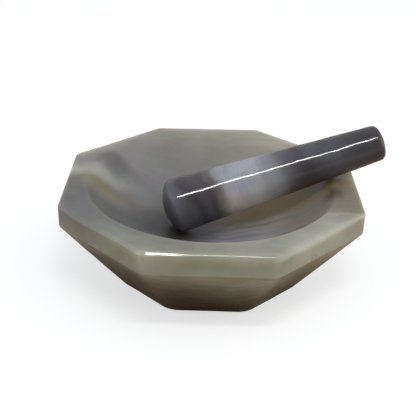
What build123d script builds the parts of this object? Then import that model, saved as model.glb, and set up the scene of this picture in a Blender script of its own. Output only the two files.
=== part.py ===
from build123d import *

import os
from math import atan, cos, degrees, radians, sin, sqrt

# An eight-sided agate mortar with its pestle lying in the bowl, in millimetres.
# Origin: centre of the mortar's base, on the table. +Z is up. +X is the side that the pestle's
# thin end points to, and the front of the mortar faces -Y.

# ---- driving dimensions of the mortar ----
across_flats = 118.0       # octagon at the rim, and the same at the foot of the upright band
mortar_height = 38.8
band_height = 8.5          # upright band under the rim
base_across_flats = 71.5   # the octagon that stands on the table, before its edge is worn
bowl_diameter = 100.0      # inside, at the rim
bowl_depth = 21.5
side_count = 8

# The octagon is ground by hand. Three of its sides stand a little off true, and each is given as
# side number: (turn in degrees, shift outwards). Side 0 faces +X, and the count goes towards +Y.
off_true_sides = {1: (2.5, -0.5), 2: (1.3, 0.5), 4: (0.0, -0.9)}

outer_edge_round = 1.2     # corners, crease and outside edge of the rim, polished over
base_edge_round = 2.4      # the edge round the foot is the most worn
bowl_edge_round = 0.4      # the edge between rim and bowl is still crisp

# ---- driving dimensions of the pestle ----
pestle_length = 93.7
head_diameter = 22.7       # grinding end, before its edge is rounded
tail_diameter = 14.9       # handle end, before its edge is rounded
head_dome_radius = 17.0
tail_dome_radius = 40.0
head_edge_round = 3.7
tail_edge_round = 2.3

# ---- how the pestle lies at rest ----
pestle_bearing = 10.5      # from +X towards +Y, seen from above
pestle_tilt = 16.1         # the axis, above the horizontal
touch_gap = 0.04           # left at each of its two touching places

# ---- worked out ----
crease_height = mortar_height - band_height
side_bearing = 360 / side_count
bowl_radius = ((bowl_diameter / 2) ** 2 + bowl_depth**2) / (2 * bowl_depth)
bowl_centre_height = mortar_height - bowl_depth + bowl_radius
head_radius = head_diameter / 2
tail_radius = tail_diameter / 2
head_rise = head_dome_radius - sqrt(head_dome_radius**2 - head_radius**2)   # dome over its own edge
tail_rise = tail_dome_radius - sqrt(tail_dome_radius**2 - tail_radius**2)
pestle_taper = atan((head_radius - tail_radius) / (pestle_length - head_rise - tail_rise))
tiny = 0.01                # for picking edges by height


def beyond_side(distance, height, lean):
    """Everything outside one side of the octagon, whose face leans in below the given height."""
    return Pos(distance, 0, height) * Rot(0, lean, 0) * Box(
        across_flats, 2 * across_flats, 2 * across_flats, align=(Align.MIN, Align.CENTER, Align.CENTER)
    )


def ground_block():
    """Octagonal block with flat facets: an upright band, and below it slopes in to the base."""
    slope = degrees(atan((across_flats - base_across_flats) / 2 / crease_height))
    block = Pos(0, 0, mortar_height / 2) * Box(2 * across_flats, 2 * across_flats, mortar_height)
    for side in range(side_count):
        turn, shift = off_true_sides.get(side, (0.0, 0.0))
        distance = across_flats / 2 + shift
        for lean in (0, slope):
            facing = Rot(0, 0, side * side_bearing + turn)
            block -= facing * beyond_side(distance, crease_height, lean)
    return block


def mortar():
    """The block with its edges polished over and a round bowl sunk into the top."""
    block = ground_block()
    block = fillet(block.edges().filter_by_position(Axis.Z, -tiny, tiny), base_edge_round)
    above_base = block.edges().filter_by_position(Axis.Z, 2 * base_edge_round, mortar_height)
    block = fillet(above_base, outer_edge_round)

    block -= Pos(0, 0, bowl_centre_height) * Sphere(bowl_radius)
    rim = block.faces().filter_by(Axis.Z).sort_by(Axis.Z)[-1]
    bowl_edge = rim.edges().filter_by(GeomType.CIRCLE)
    return fillet(bowl_edge, bowl_edge_round)


def pestle_profile():
    """Half outline of the pestle in the XY plane, axis along X, tip of the head at the origin."""
    tip = (0, 0)
    head_corner = (head_rise, head_radius)
    tail_corner = (pestle_length - tail_rise, tail_radius)
    end = (pestle_length, 0)
    outline = [
        RadiusArc(tip, head_corner, head_dome_radius),
        Line(head_corner, tail_corner),
        RadiusArc(tail_corner, end, tail_dome_radius),
        Line(end, tip),
    ]
    face = make_face(outline)
    corners = face.vertices().filter_by(lambda corner: corner.Y > tail_radius / 2).sort_by(Axis.X)
    face = fillet(corners[0], head_edge_round)
    corners = face.vertices().filter_by(lambda corner: corner.Y > tail_radius / 2).sort_by(Axis.X)
    return fillet(corners[-1], tail_edge_round)


def resting_place(edge_centre):
    """Where the pestle lies when its head touches the bowl and its shaft leans on the rim.

    The axis lies in an upright plane through the middle of the bowl, so two plane circles settle it,
    with X as the distance from the bowl's middle and Y as the height. edge_centre is the centre of
    the head's rounded edge in the profile.
    """
    slope = radians(pestle_tilt) + pestle_taper
    along = Vector(cos(slope), sin(slope))
    above = Vector(-sin(slope), cos(slope))

    # centre of the small round on the bowl's edge, which the shaft leans on
    lean_height = mortar_height - bowl_edge_round
    reach = bowl_radius + bowl_edge_round
    lean_point = Vector(sqrt(reach**2 - (bowl_centre_height - lean_height) ** 2), lean_height)

    # the head's round slides down a line parallel to the shaft's underside until it meets the bowl
    start = lean_point + above * (bowl_edge_round + touch_gap + head_edge_round)
    bowl_centre = Vector(0, bowl_centre_height)
    meeting = bowl_radius - head_edge_round - touch_gap
    offset = start - bowl_centre
    half = offset.dot(along)
    travel = half + sqrt(half**2 - offset.dot(offset) + meeting**2)
    round_centre = start - along * travel

    axis = Vector(cos(radians(pestle_tilt)), sin(radians(pestle_tilt)))
    across = Vector(-axis.Y, axis.X)
    tip = round_centre - axis * edge_centre.X + across * edge_centre.Y
    return Rot(0, 0, pestle_bearing) * Pos(tip.X, 0, tip.Y) * Rot(0, -pestle_tilt, 0)


def pestle():
    """Round tapered bar with a domed grinding head, turned about its own axis."""
    profile = pestle_profile()
    rounds = profile.edges().filter_by(lambda edge: edge.geom_type == GeomType.CIRCLE)
    head_round = rounds.filter_by(lambda edge: abs(edge.radius - head_edge_round) < tiny)[0]
    bar = revolve(profile, Axis.X)
    return resting_place(head_round.arc_center) * bar


os.makedirs("parts", exist_ok=True)
for name, shape in {"mortar": mortar(), "pestle": pestle()}.items():
    shape.label = name
    export_step(shape, f"parts/{name}.step")
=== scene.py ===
import math
from collections import namedtuple

import bpy
import numpy as np
from mathutils import Matrix, Vector, noise
from mathutils.bvhtree import BVHTree


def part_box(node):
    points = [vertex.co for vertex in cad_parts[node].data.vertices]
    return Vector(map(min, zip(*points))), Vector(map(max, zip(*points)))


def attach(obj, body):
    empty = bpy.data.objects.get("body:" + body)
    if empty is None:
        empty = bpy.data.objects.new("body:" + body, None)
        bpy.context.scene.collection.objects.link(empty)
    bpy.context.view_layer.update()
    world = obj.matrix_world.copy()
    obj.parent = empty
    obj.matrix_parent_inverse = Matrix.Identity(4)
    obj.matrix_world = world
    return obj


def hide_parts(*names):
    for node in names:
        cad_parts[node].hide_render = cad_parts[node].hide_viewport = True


# An eight-sided agate mortar with its pestle lying in the bowl, in metres. The front of the mortar
# faces -Y, and the pestle's thin end points towards +X. Sizes are measured on the CAD parts.

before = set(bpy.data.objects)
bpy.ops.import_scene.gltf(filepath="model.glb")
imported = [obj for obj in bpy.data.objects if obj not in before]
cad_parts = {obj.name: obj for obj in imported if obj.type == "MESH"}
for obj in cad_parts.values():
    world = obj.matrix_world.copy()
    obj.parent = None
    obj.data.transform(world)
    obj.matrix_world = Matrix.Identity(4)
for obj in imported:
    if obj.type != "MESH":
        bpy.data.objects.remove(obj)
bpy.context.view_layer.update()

MM = 0.001
SIDES = 8                  # side 0 faces +X, and the count goes towards +Y
FRONT_SIDE = 6
FRONT_LEFT_CORNER = 5      # the corner between sides 5 and 6

# ---------------------------------------------------------------- measuring the CAD parts

BAND_LEVEL = 0.9           # a height on the upright band, in shares of the mortar's height
SLOPE_LEVEL = 0.4          # and one on the slopes below it
LONG_FACET = 5             # facets this many times larger than most are on the pestle's cone


def cad_tree(node):
    """The surface of a CAD node, for casting rays at."""
    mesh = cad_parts[node].data
    points = [v.co.copy() for v in mesh.vertices]
    return BVHTree.FromPolygons(points, [tuple(p.vertices) for p in mesh.polygons])


def side_hit(tree, side, height):
    """Where a level ray from outside meets one side of the mortar, and which way that facet looks."""
    bearing = math.radians(360 / SIDES * side)
    inward = Vector((-math.cos(bearing), -math.sin(bearing), 0))
    place, normal, _, _ = tree.ray_cast(-inward + Vector((0, 0, height)), inward)
    return place, normal


class MortarSizes:
    """The sides, heights and bowl of the mortar."""

    def __init__(self):
        tree = cad_tree("mortar")
        low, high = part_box("mortar")
        self.height = high.z
        self.half_width = (high.y - low.y) / 2
        self.measure_sides(tree)
        self.measure_slope(tree)
        self.measure_bowl(tree)

    def measure_sides(self, tree):
        """Which way each side faces, and how far it stands from the middle."""
        self.bearings, self.distances = [], []
        for side in range(SIDES):
            place, normal = side_hit(tree, side, BAND_LEVEL * self.height)
            self.bearings.append(math.atan2(normal.y, normal.x))
            self.distances.append(place.x * normal.x + place.y * normal.y)

    def measure_slope(self, tree):
        """The height of the crease under the band, and how far in from it the foot is."""
        place, normal = side_hit(tree, FRONT_SIDE, SLOPE_LEVEL * self.height)
        steepness = math.hypot(normal.x, normal.y) / -normal.z
        here = (place.x * normal.x + place.y * normal.y) / math.hypot(normal.x, normal.y)
        self.crease = place.z + (self.distances[FRONT_SIDE] - here) * steepness
        self.foot_inset = self.crease / steepness

    def measure_bowl(self, tree):
        """The sphere that the bowl is part of, from two depths."""
        step = self.half_width / 2
        down = Vector((0, 0, -1))
        self.bowl_bottom = tree.ray_cast(Vector((0, 0, 1)), down)[0].z
        rise = tree.ray_cast(Vector((0, -step, 1)), down)[0].z - self.bowl_bottom
        self.bowl_radius = (step**2 + rise**2) / (2 * rise)
        self.bowl_centre = self.bowl_bottom + self.bowl_radius


class PestleSizes:
    """The axis, the ends and the outline of the pestle."""

    def __init__(self):
        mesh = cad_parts["pestle"].data
        points = np.array([v.co for v in mesh.vertices], float)
        corners = np.array([tuple(p.vertices) for p in mesh.polygons])
        a, b, c = (points[corners[:, i]] for i in range(3))
        cross = np.cross(b - a, c - a)
        area = np.linalg.norm(cross, axis=1)
        # the cone's long facets all look out at one angle to the axis
        long_ones = area > LONG_FACET * np.median(area)
        normals = cross[long_ones] / area[long_ones][:, None]
        axis = np.linalg.svd(normals - normals.mean(axis=0))[2][2]
        self.axis = axis if axis[2] > 0 else -axis
        # the centre of volume lies on the axis
        volumes = np.einsum("ij,ij->i", a, np.cross(b, c))
        centre = ((a + b + c) / 4 * volumes[:, None]).sum(axis=0) / volumes.sum()
        along = (points - centre) @ self.axis
        self.tip = centre + self.axis * along.min()
        self.length = float(along.max() - along.min())
        along -= along.min()
        out = np.linalg.norm(points - self.tip - np.outer(along, self.axis), axis=1)
        order = np.argsort(along)
        self.outline = (along[order], out[order])


mortar_sizes = MortarSizes()
pestle_sizes = PestleSizes()
HALF = mortar_sizes.half_width
HEIGHT = mortar_sizes.height
LENGTH = pestle_sizes.length

# ---------------------------------------------------------------- the mortar's shape

ARC_STEPS = 8                              # steps along each rounded edge
FLAT_STEPS = 16                            # steps along each flat side of the octagon
POINTS_PER_SIDE = ARC_STEPS + FLAT_STEPS
SLOPE_STEPS = 14                           # steps up the slope
BAND_STEPS = 8                             # and up the band
RIM_STEPS = 7                              # across the rim
BOWL_STEPS = 44                            # from the bowl's edge to its middle
FOOT_SHARES = (0.2, 0.4, 0.6, 0.8)         # rings on the underside, in shares of its width

Rounding = namedtuple("Rounding", "foot crease rim corner")
NEAT = Rounding(foot=3.0 * MM, crease=1.3 * MM, rim=0.5 * MM, corner=3.2 * MM)
SOFT = Rounding(foot=3.0 * MM, crease=2.0 * MM, rim=2.8 * MM, corner=6.5 * MM)    # in front
WORN = Rounding(foot=4.5 * MM, crease=3.0 * MM, rim=0.85 * MM, corner=4.5 * MM)   # front left corner
FOOT_CORNER = 9 * MM       # the octagon's corners are rounder towards the foot
BEVEL_LEAN = 1.08          # the worn rim is a flat bevel, this much wider than it is high
WORN_REACH = 46 * MM       # how far the worn corner's shape reaches
WORN_FADE = 0.7            # the share of that reach over which it blends in
FRONT_START = 0.38         # where the front's soft edges begin, in shares of the half width
FRONT_FADE = 0.25          # and over how much more of it they blend in

CRISP_BOWL_EDGE = 0.4 * MM
WORN_BOWL_EDGE = 7.5 * MM
MIDDLE_WEAR = 0.75         # how worn the bowl's edge is halfway between front and back
BACK_WEAR = 1.3            # how fast that grows towards the back
LEAN_WEAR = 0.35           # the share of the wear that is left where the pestle leans
LEAN_SPREAD = math.radians(18)             # how far round the rim that reaches


def unit(angle):
    """A flat direction of length 1."""
    return np.array([math.cos(angle), math.sin(angle)])


def eased(count):
    """Shares from 0 to 1, closer together towards both ends."""
    return [(1 - math.cos(math.pi * i / count)) / 2 for i in range(count + 1)]


def corner_centres(inset):
    """The octagon's corners after all its sides have moved in by the inset."""
    centres = []
    for side in range(SIDES):
        pair = (side, (side + 1) % SIDES)
        lines = np.array([unit(mortar_sizes.bearings[s]) for s in pair])
        centres.append(np.linalg.solve(lines, [mortar_sizes.distances[s] - inset for s in pair]))
    return centres


def octagon_ring(inset, height, corner_round):
    """The octagon moved in by the inset, with rounded corners, as a ring of points at one height."""
    centres = corner_centres(inset + corner_round)
    ring = []
    for side in range(SIDES):
        ahead = (side + 1) % SIDES
        start, end = mortar_sizes.bearings[side], mortar_sizes.bearings[ahead]
        turn = (end - start) % (2 * math.pi)
        for i in range(ARC_STEPS + 1):
            ring.append(centres[side] + corner_round * unit(start + turn * i / ARC_STEPS))
        outward = corner_round * unit(end)
        here, there = centres[side] + outward, centres[ahead] + outward
        for share in eased(FLAT_STEPS)[1:-1]:
            ring.append(here + (there - here) * share)
    return np.column_stack([np.array(ring), np.full(len(ring), height)])


def circle_ring(radius, height):
    """A level ring of evenly spaced points, in step with the octagon's corners."""
    middle = (mortar_sizes.bearings[0] + mortar_sizes.bearings[1]) / 2
    count = SIDES * POINTS_PER_SIDE
    angles = [middle + 2 * math.pi * (i - ARC_STEPS / 2) / count for i in range(count)]
    return np.array([[radius * math.cos(a), radius * math.sin(a), height] for a in angles])


def rounded_corner(before, corner, after, radius):
    """Points along the arc that rounds off one corner of a flat outline."""
    before, corner, after = (np.array(p, float) for p in (before, corner, after))
    back = (before - corner) / np.linalg.norm(before - corner)
    on = (after - corner) / np.linalg.norm(after - corner)
    half = math.acos(float(back @ on)) / 2
    reach = radius / math.tan(half)
    centre = corner + (back + on) * reach / (2 * math.cos(half) ** 2)
    first, last = corner + back * reach, corner + on * reach
    sweep = math.pi - 2 * half
    points = []
    for i in range(ARC_STEPS + 1):
        early = math.sin((1 - i / ARC_STEPS) * sweep)
        late = math.sin(i / ARC_STEPS * sweep)
        points.append(centre + ((first - centre) * early + (last - centre) * late) / math.sin(sweep))
    return points


def bevelled_corner(start, end):
    """Points along a flat bevel, as many as a rounded corner has."""
    start, end = np.array(start), np.array(end)
    return [start + (end - start) * i / ARC_STEPS for i in range(ARC_STEPS + 1)]


def wall_path(rounding, bevelled):
    """The wall's outline as (distance in from the side, height), from the foot to the rim's top."""
    foot_middle, foot = (HALF, 0), (mortar_sizes.foot_inset, 0)
    crease, rim = (0, mortar_sizes.crease), (0, HEIGHT)
    foot_edge = rounded_corner(foot_middle, foot, crease, rounding.foot)
    crease_edge = rounded_corner(foot, crease, rim, rounding.crease)
    if bevelled:
        rim_edge = bevelled_corner((0, HEIGHT - rounding.rim), (BEVEL_LEAN * rounding.rim, HEIGHT))
    else:
        rim_edge = rounded_corner(crease, rim, (HALF, HEIGHT), rounding.rim)
    path = foot_edge
    for edge, steps in ((crease_edge, SLOPE_STEPS), (rim_edge, BAND_STEPS)):
        start = path[-1]
        path = path + [start + (edge[0] - start) * share for share in eased(steps)[1:-1]] + edge
    return path


def wall_rings(rounding, bevelled=False):
    """Rings from the foot, up the slope and the band, to the top of the rim's outer edge."""
    rings = []
    for inset, height in wall_path(rounding, bevelled):
        down = max(0, 1 - height / mortar_sizes.crease)
        corner_round = rounding.corner + down * (FOOT_CORNER - rounding.corner)
        rings.append(octagon_ring(inset, height, corner_round))
    return rings


def bowl_rings(edge_round):
    """Rings from the inner edge of the rim down the bowl, stopping just short of its middle."""
    level = HEIGHT - edge_round
    drop = mortar_sizes.bowl_centre - level
    reach = math.sqrt((mortar_sizes.bowl_radius + edge_round) ** 2 - drop**2)
    edge = math.atan2(reach, drop)
    rings = []
    for i in range(ARC_STEPS + 1):
        turn = edge * i / ARC_STEPS
        across = reach - edge_round * math.sin(turn)
        rings.append(circle_ring(across, level + edge_round * math.cos(turn)))
    for i in range(1, BOWL_STEPS):
        angle = edge * (1 - i / BOWL_STEPS)
        across = mortar_sizes.bowl_radius * math.sin(angle)
        down = mortar_sizes.bowl_radius * math.cos(angle)
        rings.append(circle_ring(across, mortar_sizes.bowl_centre - down))
    return rings


def in_front(ring):
    """How far round to the front each point is: 0 for the sides and the back, 1 in front."""
    return np.clip((-ring[:, 1] / HALF - FRONT_START) / FRONT_FADE, 0, 1)[:, None]


def corner_wear(ring):
    """How much of the worn front left corner's shape each point takes."""
    corner = octagon_ring(0, 0, 0)[FRONT_LEFT_CORNER * POINTS_PER_SIDE]
    away = np.linalg.norm(ring[:, :2] - corner[:2], axis=1)
    return np.clip((WORN_REACH - away) / (WORN_FADE * WORN_REACH), 0, 1)[:, None]


def bowl_wear(ring):
    """How worn the bowl's edge is: crisp in front, worn behind, less so where the pestle leans."""
    bearing = np.arctan2(ring[:, 1], ring[:, 0])
    lean = math.atan2(pestle_sizes.axis[1], pestle_sizes.axis[0])
    kept = np.clip(np.abs(bearing - lean) / LEAN_SPREAD, LEAN_WEAR, 1)
    return (kept * np.clip(MIDDLE_WEAR + BACK_WEAR * np.sin(bearing), 0, 1))[:, None]


def skin(name, rings, first_pole, last_pole):
    """A closed mesh over rings of points, with one point closing each end."""
    count = len(rings[0])
    points = np.vstack(rings + [[first_pole], [last_pole]])
    low, high = len(points) - 2, len(points) - 1
    top = (len(rings) - 1) * count
    faces = []
    for i in range(count):
        j = (i + 1) % count
        faces.append((low, j, i))
        for here in range(0, top, count):
            above = here + count
            faces.append((here + i, here + j, above + j, above + i))
        faces.append((top + i, top + j, high))
    mesh = bpy.data.meshes.new(name)
    mesh.from_pydata(points.tolist(), [], faces)
    mesh.validate()
    mesh.polygons.foreach_set("use_smooth", [True] * len(mesh.polygons))
    mesh.update()
    piece = bpy.data.objects.new(name, mesh)
    bpy.context.scene.collection.objects.link(piece)
    return piece


def mortar_shape():
    """The mortar's fine mesh: from the middle of the foot, up the wall, over the rim, down the bowl."""
    wall = []
    for neat, soft, worn in zip(wall_rings(NEAT), wall_rings(SOFT), wall_rings(WORN, bevelled=True)):
        ring = neat + (soft - neat) * in_front(neat)
        wall.append(ring + (worn - ring) * corner_wear(neat))
    bowl = []
    for crisp, worn in zip(bowl_rings(CRISP_BOWL_EDGE), bowl_rings(WORN_BOWL_EDGE)):
        bowl.append(crisp + (worn - crisp) * bowl_wear(crisp))
    foot = [wall[0] * [share, share, 1] for share in FOOT_SHARES]
    rim = [wall[-1] + (bowl[0] - wall[-1]) * i / RIM_STEPS for i in range(1, RIM_STEPS)]
    return skin("mortar_stone", foot + wall + rim + bowl, (0, 0, 0), (0, 0, mortar_sizes.bowl_bottom))


# ---------------------------------------------------------------- the pestle's shape

PESTLE_SIDES = 96
PESTLE_STEP = 1.0 * MM


def pestle_shape():
    """The pestle's fine mesh, turned about the CAD pestle's axis with its outline."""
    count = int(LENGTH / PESTLE_STEP)
    stations = [LENGTH * share for share in eased(count)[1:-1]]
    radii = np.interp(stations, *pestle_sizes.outline)
    axis = Vector(pestle_sizes.axis)
    side = axis.orthogonal().normalized()
    other = axis.cross(side)
    tip = Vector(pestle_sizes.tip)
    rings = []
    for station, radius in zip(stations, radii):
        ring = []
        for i in range(PESTLE_SIDES):
            angle = 2 * math.pi * i / PESTLE_SIDES
            outward = side * math.cos(angle) + other * math.sin(angle)
            ring.append(tip + axis * station + outward * radius)
        rings.append(np.array(ring))
    return skin("pestle_stone", rings, tip, tip + axis * LENGTH)


# ---------------------------------------------------------------- hand finish

WAVE_LAYERS = 3
WAVE_GAP = 2.1             # how much finer each layer of waves is than the one before
WAVE_FADE = 0.6            # how fast the finer layers weaken


def hand_finish(piece, depth, size, seed):
    """Takes a thin uneven layer off a mesh, as hand grinding does. It never adds stone."""
    mesh = piece.data
    shift = Vector((seed, 2 * seed, 3 * seed))
    moved = []
    for vertex in mesh.vertices:
        wave = noise.fractal(vertex.co / size + shift, WAVE_FADE, WAVE_GAP, WAVE_LAYERS)
        take = depth * (0.5 + 0.5 * max(-1.0, min(1.0, wave)))
        moved.append(vertex.co - vertex.normal * take)
    for vertex, place in zip(mesh.vertices, moved):
        vertex.co = place
    mesh.update()


# ---------------------------------------------------------------- painting stone

AGATE_IOR = 1.54
BROAD_WANDER = (30 * MM, 7 * MM)       # how long the bends in the stone's layers are, and how deep
FINE_WANDER = (7 * MM, 1.6 * MM)
CLOUD_CORE = 0.2                       # the even middle of a cloud, in shares of its reach
OLIVE_TINT = (0.965, 1.0, 0.94)
MAUVE_TINT = (1.035, 0.99, 1.04)
POLISH_PATCH = 6 * MM                  # the size of the patches that are more or less polished
RIPPLE = 4 * MM                        # and of the ripples in the polish


def add_node(tree, kind, inputs, **settings):
    """Adds a node, chooses its settings, and fills its inputs with values or other nodes' outputs."""
    node = tree.nodes.new("ShaderNode" + kind)
    for name, value in settings.items():
        setattr(node, name, value)
    fill(tree, node, inputs)
    return node


def fill(tree, node, inputs):
    """Fills a node's inputs with values or other nodes' outputs."""
    for key, value in inputs.items():
        if isinstance(value, bpy.types.NodeSocket):
            tree.links.new(value, node.inputs[key])
        else:
            node.inputs[key].default_value = value


def new_material(name):
    """A material with nodes, and its node tree."""
    material = bpy.data.materials.new(name)
    material.use_nodes = True
    return material, material.node_tree


class Stone:
    """A polished stone's material, painted right through the piece rather than on its surface.

    A share is a number from 0 to 1 at each place in the stone. Colours are linear.
    """

    def __init__(self, name, facing):
        self.material, self.tree = new_material(name)
        self.facing = Vector(facing).normalized()      # square to the stone's layers
        self.true_place = self.tree.nodes.new("ShaderNodeTexCoord").outputs["Object"]
        # painted at these places instead, everything comes out uneven
        self.place = self.wander(self.wander(self.true_place, *BROAD_WANDER), *FINE_WANDER)
        self.colour = None

    def number(self, operation, first, second=0.0, third=0.0):
        """Arithmetic on numbers."""
        inputs = {0: first, 1: second, 2: third}
        return add_node(self.tree, "Math", inputs, operation=operation).outputs[0]

    def vector(self, operation, first, second=(0, 0, 0)):
        """Arithmetic on places and colours."""
        node = add_node(self.tree, "VectorMath", {0: first, 1: second}, operation=operation)
        return node.outputs["Value" if operation in ("DOT_PRODUCT", "LENGTH") else "Vector"]

    def lumps(self, place, size, detail=2.0):
        """Smooth noise, 0 to 1 and mostly near the middle, with lumps of about the given size."""
        return add_node(self.tree, "TexNoise", {"Vector": place, "Scale": 1 / size, "Detail": detail})

    def wander(self, place, size, reach):
        """The same places, each pushed a little way off."""
        push = self.vector("SUBTRACT", self.lumps(place, size).outputs["Color"], (0.5, 0.5, 0.5))
        return self.vector("ADD", place, self.vector("MULTIPLY", push, (2 * reach,) * 3))

    def grey(self, value):
        """One number as a colour."""
        return add_node(self.tree, "CombineXYZ", {0: value, 1: value, 2: value}).outputs[0]

    # shares

    def ease(self, value, start, end):
        """0 before start and 1 after end, smoothly."""
        inputs = {"Value": value, "From Min": start, "From Max": end}
        return add_node(self.tree, "MapRange", inputs, interpolation_type="SMOOTHSTEP").outputs["Result"]

    def inverse(self, share):
        """What is left of a share."""
        return self.number("SUBTRACT", 1.0, share)

    def both(self, *shares):
        """Where all the shares are."""
        whole = shares[0]
        for share in shares[1:]:
            whole = self.number("MULTIPLY", whole, share)
        return whole

    def depth(self, centre, facing=None, place=None):
        """Distance in front of the plane through a point."""
        offset = self.vector("SUBTRACT", place or self.place, tuple(centre))
        return self.vector("DOT_PRODUCT", offset, tuple(facing or self.facing))

    def layer(self, centre, thickness, soft, facing=None, place=None):
        """A flat layer through a point, with edges as wide as soft."""
        away = self.number("ABSOLUTE", self.depth(centre, facing, place))
        return self.inverse(self.ease(away, thickness / 2 - soft / 2, thickness / 2 + soft / 2))

    def beyond(self, centre, soft, facing):
        """Everything in front of a plane, with an edge as wide as soft."""
        return self.ease(self.depth(centre, facing), -soft / 2, soft / 2)

    def cloud(self, centre, reach):
        """A soft-edged lump that reaches so far from its centre, in x, y and z."""
        offset = self.vector("SUBTRACT", self.place, tuple(centre))
        away = self.vector("LENGTH", self.vector("DIVIDE", offset, tuple(reach)))
        return self.inverse(self.ease(away, CLOUD_CORE, 1.0))

    # colour

    def mix(self, share, below, above):
        """One colour over another."""
        return add_node(self.tree, "Mix", {0: share, 6: below, 7: above}, data_type="RGBA").outputs[2]

    def paint(self, colour, *shares):
        """Lays a colour over what is there already, where all the shares are."""
        self.colour = self.mix(self.both(*shares), self.colour, (*colour, 1))

    def strata(self, start, end, stops):
        """Lays down the first colours, layer after layer from the start to the end."""
        along = self.number("DIVIDE", self.depth(start), (end - start).dot(self.facing))
        node = add_node(self.tree, "ValToRGB", {0: along})
        ramp = node.color_ramp
        ramp.interpolation = "EASE"
        while len(ramp.elements) < len(stops):
            ramp.elements.new(0.5)
        for element, (position, colour) in zip(ramp.elements, stops):
            element.position = position
            element.color = (*colour, 1)
        self.colour = node.outputs["Color"]

    def grain(self, fine, coarse, strength):
        """Thin uneven streaks along the layers: fine is their width and coarse is their length."""
        across = self.vector("MULTIPLY", self.place, (1 / coarse,) * 3)
        depth = self.number("MULTIPLY", self.depth((0, 0, 0)), 1 / fine - 1 / coarse)
        inputs = {0: tuple(self.facing), "Scale": depth}
        squeezed = add_node(self.tree, "VectorMath", inputs, operation="SCALE").outputs[0]
        streaks = self.lumps(self.vector("ADD", across, squeezed), 1.0, 4.0).outputs[0]
        swing = self.number("MULTIPLY", self.number("SUBTRACT", streaks, 0.5), 2.0)
        gain = self.number("MULTIPLY_ADD", swing, strength, 1.0)
        self.colour = self.vector("MULTIPLY", self.colour, self.grey(gain))

    def mottle(self, size, strength):
        """Soft patches, some lighter and some darker, some leaning to mauve and some to olive."""
        light = self.lumps(self.true_place, size, 3.0).outputs[0]
        hue = self.lumps(self.vector("ADD", self.true_place, (1, 1, 1)), 1.3 * size).outputs[0]
        tint = self.mix(self.ease(hue, 0.3, 0.7), (*OLIVE_TINT, 1), (*MAUVE_TINT, 1))
        gain = self.number("MULTIPLY_ADD", light, 2 * strength, 1 - strength)
        self.colour = self.vector("MULTIPLY", self.colour, self.vector("MULTIPLY", tint, self.grey(gain)))

    # surface

    def polish(self, roughness, swing):
        """Uneven polish: smoother here and rougher there by up to about the given swing."""
        patches = self.lumps(self.true_place, POLISH_PATCH, 4.0).outputs[0]
        uneven = self.number("MULTIPLY", self.number("SUBTRACT", patches, 0.5), 4 * swing)
        return self.number("ADD", roughness, uneven)

    def ripples(self, height):
        """Faint ripples that polishing leaves, as bump on top of the mesh's own shape."""
        waves = self.lumps(self.true_place, RIPPLE, 3.0).outputs[0]
        inputs = {"Strength": 1.0, "Distance": height, "Height": waves}
        return add_node(self.tree, "Bump", inputs).outputs[0]

    def finish(self, roughness, ripples, glow, glow_colour):
        """Connects everything to the shader. Glow is how far light travels inside the stone."""
        inputs = {
            "Base Color": self.colour,
            "Normal": ripples,
            "Roughness": roughness,
            "IOR": AGATE_IOR,
            "Subsurface Weight": 1.0,
            "Subsurface Radius": glow_colour,
            "Subsurface Scale": glow,
        }
        fill(self.tree, self.tree.nodes["Principled BSDF"], inputs)
        return self.material


# ---------------------------------------------------------------- the mortar's stone

UP, DOWN, RIGHT = Vector((0, 0, 1)), Vector((0, 0, -1)), Vector((1, 0, 0))
MORTAR_LAYERS_FACE = (0.03, 1.0, 0.08)     # nearly straight back
FRONT_RIGHT = (-0.1, -1, 0)                # square to the edge of the paler part in front
RIND = 0.86                # the outer rind begins at this share of the half width
OUTSIDE_ROUGHNESS = 0.12   # the outside is polished
BOWL_ROUGHNESS = 0.24      # and the bowl is ground matt

MORTAR_LAYERS = [          # from the front to the back
    (0.00, (0.245, 0.255, 0.205)),
    (0.06, (0.19, 0.195, 0.16)),
    (0.14, (0.17, 0.165, 0.145)),
    (0.27, (0.145, 0.142, 0.13)),
    (0.40, (0.115, 0.112, 0.11)),
    (0.50, (0.14, 0.135, 0.13)),
    (0.57, (0.19, 0.182, 0.172)),
    (0.64, (0.195, 0.188, 0.188)),
    (0.73, (0.225, 0.214, 0.212)),
    (0.83, (0.225, 0.215, 0.205)),
    (0.90, (0.235, 0.23, 0.20)),
    (1.00, (0.25, 0.25, 0.215)),
]

CREAM = (0.35, 0.34, 0.275)
PALE_OLIVE = (0.30, 0.30, 0.262)
PALE_EDGE = (0.42, 0.41, 0.36)
WARM_BROWN = (0.21, 0.172, 0.145)
OCHRE_PAINTED_SHADOW = (0.255, 0.175, 0.026)
DARK_PAINTED_SHADOW = (0.10, 0.062, 0.018)
BROWN_SMUDGE = (0.10, 0.075, 0.06)
WARM_GREY = (0.37, 0.335, 0.31)
COOL_GREY = (0.14, 0.155, 0.16)
MID_GREY = (0.14, 0.14, 0.13)
HEAD_PAINTED_SHADOW = (0.06, 0.058, 0.055)
CONTACT_PAINTED_SHADOW = (0.025, 0.022, 0.022)
LILAC = (0.28, 0.27, 0.315)
SLATE = (0.085, 0.08, 0.085)
PALE_VEIN = (0.32, 0.325, 0.29)
KHAKI = (0.19, 0.172, 0.125)
YELLOW_OLIVE = (0.18, 0.165, 0.09)
ASH = (0.13, 0.125, 0.118)
BAND_PAINTED_LIGHT = (0.40, 0.42, 0.385)
BLUISH_PAINTED_LIGHT = (0.40, 0.41, 0.43)
BROWN_PAINTED_SHADE = (0.12, 0.088, 0.075)
FOOT_PAINTED_SHADE = (0.028, 0.010, 0.003)
# a painted highlight along the crease
CREASE_HIGHLIGHT = (0.42, 0.40, 0.33)


def spot(x, y, z):
    """A place in the mortar: x and y in shares of its half width, z in shares of its height."""
    return Vector((x * HALF, y * HALF, z * HEIGHT))


def patch(stone, colour, centre, reach, share=1.0):
    """A soft-edged patch of colour in the mortar. Its reach is in shares of the half width."""
    stone.paint(colour, stone.cloud(spot(*centre), [r * HALF for r in reach]), share)


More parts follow.
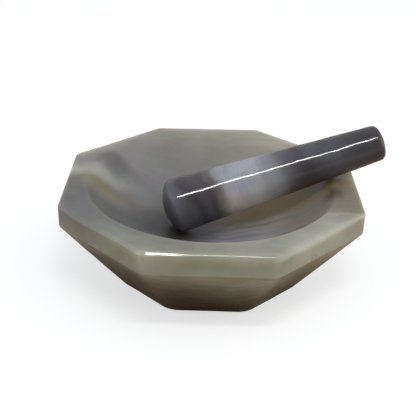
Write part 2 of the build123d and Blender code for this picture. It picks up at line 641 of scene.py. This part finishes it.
def rind(stone, soft):
    """The outer rind of the mortar, clear of the bowl, with an inner edge as wide as soft."""
    from_axis = stone.vector("LENGTH", stone.vector("MULTIPLY", stone.true_place, (1, 1, 0)))
    return stone.ease(from_axis, RIND * HALF, (RIND + soft) * HALF)


def below_bowl(stone, start, end):
    """Nothing up to the first distance under the bowl's surface, and everything past the second."""
    from_centre = stone.vector("SUBTRACT", stone.true_place, (0, 0, mortar_sizes.bowl_centre))
    distance = stone.vector("LENGTH", from_centre)
    return stone.ease(distance, mortar_sizes.bowl_radius + start, mortar_sizes.bowl_radius + end)


def paint_right_side(stone):
    """Lighter and creamier to the right, with brown through the middle, and the pestle's painted shadow:
    ochre in the bowl, dark brown by the rim.
    """
    right = stone.beyond(spot(0.2, 0, 0), 1.3 * HALF, RIGHT)
    stone.paint(CREAM, right, 0.70)
    edge = spot(0.8, -0.40, 1)
    front_right = stone.beyond(edge, 0.05 * HALF, FRONT_RIGHT)
    stone.paint(PALE_OLIVE, front_right, right, 0.8)
    line = stone.layer(edge, 0.03 * HALF, 0.03 * HALF, FRONT_RIGHT)
    stone.paint(PALE_EDGE, line, stone.cloud(spot(0.9, -0.4, 1), (0.3 * HALF,) * 3), 0.8)
    middle = stone.layer(spot(0.3, -0.03, 0.6), 0.55 * HALF, 0.4 * HALF)
    stone.paint(WARM_BROWN, middle, stone.beyond(spot(0.35, 0, 0), 0.6 * HALF, RIGHT), 0.85)
    # painted shadow of the pestle in the bowl, ochre as if lit warm through the pestle
    ochre = stone.layer(spot(0.3, 0.22, 0.6), 0.34 * HALF, 0.10 * HALF)
    stone.paint(OCHRE_PAINTED_SHADOW, ochre, stone.cloud(spot(0.40, 0.05, 0.6), (0.72 * HALF, HALF, HALF)), 0.92)
    # painted shadow, dark brown, where the pestle lies on the rim
    patch(stone, DARK_PAINTED_SHADOW, (0.74, 0.30, 0.85), (0.20, 0.13, 0.3), 0.6)
    patch(stone, BROWN_SMUDGE, (0.79, -0.08, 0.91), (0.12, 0.12, 0.28), 0.8)
    patch(stone, WARM_GREY, (0.38, 0.72, 0.75), (0.42, 0.26, 0.5), 0.7)


def paint_left_side(stone):
    """Greyer to the left, with painted shadow under the pestle's head, darkest where it rests, and a
    bluish patch beside it.
    """
    patch(stone, COOL_GREY, (-0.72, -0.55, 0.95), (0.55, 0.42, 0.5), 0.35)
    patch(stone, MID_GREY, (-0.86, 0.54, 1.0), (0.16, 0.11, 0.2), 0.7)
    # painted shadow under the pestle's head, darker still where the head rests
    patch(stone, HEAD_PAINTED_SHADOW, (-0.26, -0.15, 0.45), (0.44, 0.44, 0.3), 0.85)
    patch(stone, CONTACT_PAINTED_SHADOW, (-0.10, -0.30, 0.46), (0.30, 0.20, 0.25), 0.75)
    patch(stone, LILAC, (0.22, -0.24, 0.45), (0.5, 0.22, 0.3))
    patch(stone, SLATE, (-0.55, -0.38, 0.78), (0.34, 0.20, 0.3), 0.5)


def paint_vein(stone):
    """A pale vein over the left rim and down into the bowl, with olive in front and ash behind."""
    vein = stone.layer(spot(-0.85, 0.18, 1.0), 0.12 * HALF, 0.12 * HALF, (-0.25, 1, 0.1))
    stone.paint(PALE_VEIN, vein, stone.cloud(spot(-1.0, 0.2, 1), (0.75 * HALF, HALF, 0.6 * HALF)))
    patch(stone, KHAKI, (-0.68, 0.07, 0.86), (0.34, 0.16, 0.30))
    patch(stone, YELLOW_OLIVE, (-0.79, 0.06, 0.93), (0.16, 0.12, 0.14))
    patch(stone, ASH, (-0.71, 0.40, 0.94), (0.20, 0.13, 0.16))


def paint_outside(stone):
    """Painted light, paler round the band and bluer just under the crease; painted shade, brown low in
    front and towards the foot.
    """
    outer = rind(stone, 0.06)
    # painted light: the upright band and the slopes just under the crease are lighter, as the room's
    # light falls on them
    band = stone.layer(spot(0, 0, 0.74), 0.36 * HEIGHT, 0.3 * HEIGHT, UP)
    stone.paint(BAND_PAINTED_LIGHT, band, outer, 0.46)
    below_crease = stone.layer(spot(0, 0, 0.67), 0.16 * HEIGHT, 0.14 * HEIGHT, UP)
    stone.paint(BLUISH_PAINTED_LIGHT, below_crease, outer, 0.22)
    # painted shade, brown, low on the front left slope
    patch(stone, BROWN_PAINTED_SHADE, (-0.30, -0.85, 0.5), (0.5, 0.35, 0.32), 0.6)
    # painted shade: darker and browner towards the foot, where the stone stands close to the table
    low = 0.64
    foot = stone.ease(stone.depth(spot(0, 0, low), DOWN), 0.0, low * HEIGHT)
    stone.paint(FOOT_PAINTED_SHADE, foot, 0.98)


def add_mortar_streaks(stone):
    """Mottling and fine streaks, stronger in the bowl's front and on the slopes."""
    stone.mottle(13 * MM, 0.25)
    stone.grain(2.0 * MM, 30 * MM, 0.10)
    bowl_front = stone.cloud(spot(0.25, -0.22, 0.5), (0.8 * HALF, 0.5 * HALF, 0.4 * HALF))
    stone.grain(3.2 * MM, 60 * MM, stone.both(bowl_front, 1.1))
    slopes = stone.beyond(spot(0, 0, 0.78), 0.06 * HEIGHT, DOWN)
    stone.grain(1.3 * MM, 40 * MM, stone.both(slopes, below_bowl(stone, 0.5 * MM, 3 * MM), 0.35))


def paint_crease_highlight(stone):
    """A painted highlight: a thin pale line along parts of the crease, where its rounding would catch the
    light.
    """
    line = stone.layer((0, 0, mortar_sizes.crease), 0.9 * MM, 0.8 * MM, UP, stone.true_place)
    parts = stone.ease(stone.lumps(stone.true_place, 9 * MM).outputs[0], 0.35, 0.6)
    stone.paint(CREASE_HIGHLIGHT, line, rind(stone, 0.02), parts, 0.6)


def mortar_stone():
    """Grey and olive agate whose layers stand upright, facing front and back."""
    stone = Stone("mortar_agate", MORTAR_LAYERS_FACE)
    stone.strata(spot(0, -1, 0.8), spot(0, 1, 0.8), MORTAR_LAYERS)
    paint_right_side(stone)
    paint_left_side(stone)
    paint_vein(stone)
    paint_outside(stone)
    add_mortar_streaks(stone)
    # a painted highlight along the crease
    paint_crease_highlight(stone)
    in_bowl = stone.inverse(below_bowl(stone, 0, 4 * MM))
    extra = BOWL_ROUGHNESS - OUTSIDE_ROUGHNESS
    roughness = stone.number("MULTIPLY_ADD", in_bowl, extra, OUTSIDE_ROUGHNESS)
    polish = stone.polish(roughness, swing=0.03)
    ripples = stone.ripples(height=0.02 * MM)
    return stone.finish(polish, ripples, glow=22 * MM, glow_colour=(1.0, 0.85, 0.6))


# ---------------------------------------------------------------- the pestle's stone

PESTLE_LAYERS = [          # from the head to the thin end
    (0.00, (0.085, 0.082, 0.085)),
    (0.06, (0.112, 0.11, 0.13)),
    (0.10, (0.095, 0.09, 0.105)),
    (0.135, (0.05, 0.045, 0.053)),
    (0.17, (0.075, 0.068, 0.075)),
    (0.195, (0.065, 0.052, 0.057)),
    (0.235, (0.11, 0.09, 0.093)),
    (0.28, (0.31, 0.315, 0.355)),
    (0.36, (0.325, 0.34, 0.395)),
    (0.43, (0.345, 0.36, 0.385)),
    (0.49, (0.225, 0.23, 0.25)),
    (0.56, (0.105, 0.095, 0.108)),
    (0.62, (0.043, 0.036, 0.044)),
    (0.70, (0.060, 0.055, 0.070)),
    (0.85, (0.048, 0.043, 0.054)),
    (1.00, (0.040, 0.036, 0.038)),
]
LAYER_TILT = 0.2           # the layers lean a little from square to the axis
PESTLE_ROUGHNESS = 0.08
WARM_PAINTED_UNDERLIGHT = (0.62, 0.55, 0.45)
PALE_GREY = (0.29, 0.31, 0.34)
PLUM_PAINTED_REFLECTION = (0.15, 0.078, 0.055)
# a painted reflection of the bright room overhead, on top of the handle
BLUISH_PAINTED_SHEEN = (0.12, 0.125, 0.145)


def along(share):
    """A point on the pestle's axis, in shares of its length from the head."""
    return Vector(pestle_sizes.tip) + Vector(pestle_sizes.axis) * share * LENGTH


def pestle_stone():
    """Charcoal agate with one pale layer across its middle."""
    axis = Vector(pestle_sizes.axis)
    stone = Stone("pestle_agate", axis + LAYER_TILT * (UP - axis * axis.z))
    stone.strata(along(0), along(1), PESTLE_LAYERS)
    # painted light: the pale layer is warmer and paler on the underside, lit warm from the bowl below,
    # and it reaches further along in front
    under = stone.beyond(along(0.4) - UP * 0.01 * LENGTH, 0.16 * LENGTH, DOWN)
    pale = stone.layer(along(0.385), 0.27 * LENGTH, 0.12 * LENGTH)
    stone.paint(WARM_PAINTED_UNDERLIGHT, under, pale, 0.65)
    front = along(0.50) - Vector((0, 0.08 * LENGTH, 0))
    stone.paint(PALE_GREY, stone.cloud(front, (0.1 * LENGTH,) * 3), 0.6)
    # beyond it, painted reflections: plum underneath, of the brown bowl below, and a bluish sheen on top,
    # of the room overhead
    plum = stone.layer(along(0.60), 0.20 * LENGTH, 0.12 * LENGTH)
    stone.paint(PLUM_PAINTED_REFLECTION, under, plum, 0.62)
    top = stone.beyond(along(0.7) + UP * 0.04 * LENGTH, 0.08 * LENGTH, UP)
    handle = stone.layer(along(0.70), 0.26 * LENGTH, 0.14 * LENGTH)
    stone.paint(BLUISH_PAINTED_SHEEN, top, handle, 0.3)
    stone.grain(1.5 * MM, 16 * MM, 0.15)
    stone.mottle(9 * MM, 0.32)
    polish = stone.polish(PESTLE_ROUGHNESS, swing=0.03)
    ripples = stone.ripples(height=0.015 * MM)
    return stone.finish(polish, ripples, glow=10 * MM, glow_colour=(1.0, 0.75, 0.5))


# ---------------------------------------------------------------- the two pieces


def stand_for(piece, name, material):
    """Puts a finished piece in the place of the CAD part of that name."""
    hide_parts(name)
    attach(piece, name)
    piece.data.materials.append(material)


mortar = mortar_shape()
hand_finish(mortar, depth=0.15 * MM, size=18 * MM, seed=3.0)
stand_for(mortar, "mortar", mortar_stone())

pestle = pestle_shape()
hand_finish(pestle, depth=0.24 * MM, size=14 * MM, seed=7.0)
stand_for(pestle, "pestle", pestle_stone())

# ---------------------------------------------------------------- stage

WHITE = (1.0, 1.0, 1.0)            # what the camera sees behind the object
ROOM_LOW = (0.43, 0.43, 0.43)      # the room as the stone sees it, just above the table
ROOM_HIGH = (0.60, 0.62, 0.70)     # and overhead
WINDOWS = [                        # broad soft areas of the room: which way they are, and their colour
    ((0.9, -0.35, 0.2), (1.6, 1.65, 1.6)),
    ((-0.9, -0.35, 0.2), (1.0, 1.05, 1.05)),
    ((0.0, -1.0, 0.0), (0.24, 0.24, 0.24)),
]
WINDOW_EDGE = 0.4                  # cosine of the angle at which a window's light ends

FLOOR_REACH = 20.0
FLOOR_GREY = 0.45                  # of the pale floor that the camera sees
FLOOR_GLOW = 0.62
NEAR_TABLE_SHADED = (0.42, 0.325, 0.235)  # the table as the stone sees it, close by
FAR_TABLE = (0.60, 0.55, 0.48)     # and further off
NEAR_REACH = 60 * MM
FAR_REACH = 300 * MM

SOFTBOX_PLACE = Vector((0.08, -0.5, 0.95))
SOFTBOX_SIZE = (0.42, 0.075)
SOFTBOX_WATTS = 3.2

CAMERA_PLACE = Vector((-3.0, -314.5, 185.2)) * MM
CAMERA_AZIMUTH = math.radians(-0.38)
CAMERA_ELEVATION = math.radians(26.67)     # how steeply it looks down
CAMERA_ROLL = math.radians(1.83)
SENSOR_WIDTH, LENS = 36.0, 74.2            # in millimetres, as Blender takes them


def seen_by_camera(tree, camera_socket, other_socket, output_socket):
    """Shows one shader to the camera and another to every other ray."""
    rays = tree.nodes.new("ShaderNodeLightPath")
    inputs = {0: rays.outputs["Is Camera Ray"], 1: other_socket, 2: camera_socket}
    mix = add_node(tree, "MixShader", inputs)
    tree.links.new(mix.outputs[0], output_socket)


def room():
    """A white studio to the camera. The stone sees grey walls, a light to each side, dark in front."""
    world = bpy.data.worlds.new("room")
    bpy.context.scene.world = world
    world.use_nodes = True
    tree = world.node_tree
    behind = tree.nodes["Background"]
    behind.inputs["Color"].default_value = (*WHITE, 1)
    ray = tree.nodes.new("ShaderNodeTexCoord").outputs["Generated"]
    height = add_node(tree, "SeparateXYZ", {0: ray}).outputs["Z"]
    walls = add_node(tree, "Mix", {0: height, 6: (*ROOM_LOW, 1), 7: (*ROOM_HIGH, 1)}, data_type="RGBA")
    light = walls.outputs[2]
    for side, colour in WINDOWS:
        facing = {0: ray, 1: tuple(Vector(side).normalized())}
        towards = add_node(tree, "VectorMath", facing, operation="DOT_PRODUCT").outputs["Value"]
        edge = {"Value": towards, "From Min": WINDOW_EDGE}
        share = add_node(tree, "MapRange", edge, interpolation_type="SMOOTHSTEP").outputs[0]
        light = add_node(tree, "Mix", {0: share, 6: light, 7: (*colour, 1)}, data_type="RGBA").outputs[2]
    around = add_node(tree, "Background", {"Color": light})
    surface = tree.nodes["World Output"].inputs["Surface"]
    seen_by_camera(tree, behind.outputs[0], around.outputs[0], surface)


def floor_material():
    """Pale to the camera. The stone sees a brown table instead, darker close by with painted shade."""
    material, tree = new_material("pale_floor")
    pale = tree.nodes["Principled BSDF"]
    looks = {
        "Base Color": (FLOOR_GREY, FLOOR_GREY, FLOOR_GREY, 1),
        "Roughness": 1.0,
        "Specular IOR Level": 0.0,
        "Emission Color": (*WHITE, 1),
        "Emission Strength": FLOOR_GLOW,
    }
    fill(tree, pale, looks)
    place = tree.nodes.new("ShaderNodeTexCoord").outputs["Object"]
    away = add_node(tree, "VectorMath", {0: place}, operation="LENGTH").outputs["Value"]
    reach = {"Value": away, "From Min": NEAR_REACH, "From Max": FAR_REACH}
    colours = {0: add_node(tree, "MapRange", reach).outputs[0], 6: (*NEAR_TABLE_SHADED, 1), 7: (*FAR_TABLE, 1)}
    table = add_node(tree, "Mix", colours, data_type="RGBA")
    brown = add_node(tree, "BsdfDiffuse", {"Color": table.outputs[2]})
    surface = tree.nodes["Material Output"].inputs["Surface"]
    seen_by_camera(tree, pale.outputs[0], brown.outputs[0], surface)
    return material


def floor():
    """A plain pale floor, far larger than the view."""
    corners = [(x * FLOOR_REACH, y * FLOOR_REACH, 0) for x, y in ((-1, -1), (1, -1), (1, 1), (-1, 1))]
    mesh = bpy.data.meshes.new("floor")
    mesh.from_pydata(corners, [], [(0, 1, 2, 3)])
    mesh.materials.append(floor_material())
    piece = bpy.data.objects.new("floor", mesh)
    bpy.context.scene.collection.objects.link(piece)


def softbox():
    """One long narrow lamp over the front, which draws the bright lines on the stone."""
    data = bpy.data.lights.new("softbox", "AREA")
    data.shape = "RECTANGLE"
    data.size, data.size_y = SOFTBOX_SIZE
    data.energy = SOFTBOX_WATTS
    lamp = bpy.data.objects.new("softbox", data)
    turned = (-SOFTBOX_PLACE).to_track_quat("-Z", "Y").to_matrix().to_4x4()
    lamp.matrix_world = Matrix.Translation(SOFTBOX_PLACE) @ turned
    bpy.context.scene.collection.objects.link(lamp)


def camera():
    """The viewpoint: in front, a little above, tipped very slightly to one side."""
    level = Vector((math.cos(CAMERA_AZIMUTH), math.sin(CAMERA_AZIMUTH), 0))
    ahead = UP.cross(level)
    forward = ahead * math.cos(CAMERA_ELEVATION) - UP * math.sin(CAMERA_ELEVATION)
    upward = level.cross(forward)
    right = level * math.cos(CAMERA_ROLL) + upward * math.sin(CAMERA_ROLL)
    up = upward * math.cos(CAMERA_ROLL) - level * math.sin(CAMERA_ROLL)
    data = bpy.data.cameras.new("camera")
    data.sensor_width = SENSOR_WIDTH
    data.lens = LENS
    data.clip_start = 10 * MM
    eye = bpy.data.objects.new("camera", data)
    turned = Matrix((right, up, -forward)).transposed().to_4x4()
    eye.matrix_world = Matrix.Translation(CAMERA_PLACE) @ turned
    bpy.context.scene.collection.objects.link(eye)
    bpy.context.scene.camera = eye


room()
floor()
softbox()
camera()
bpy.context.scene.view_settings.view_transform = "Standard"
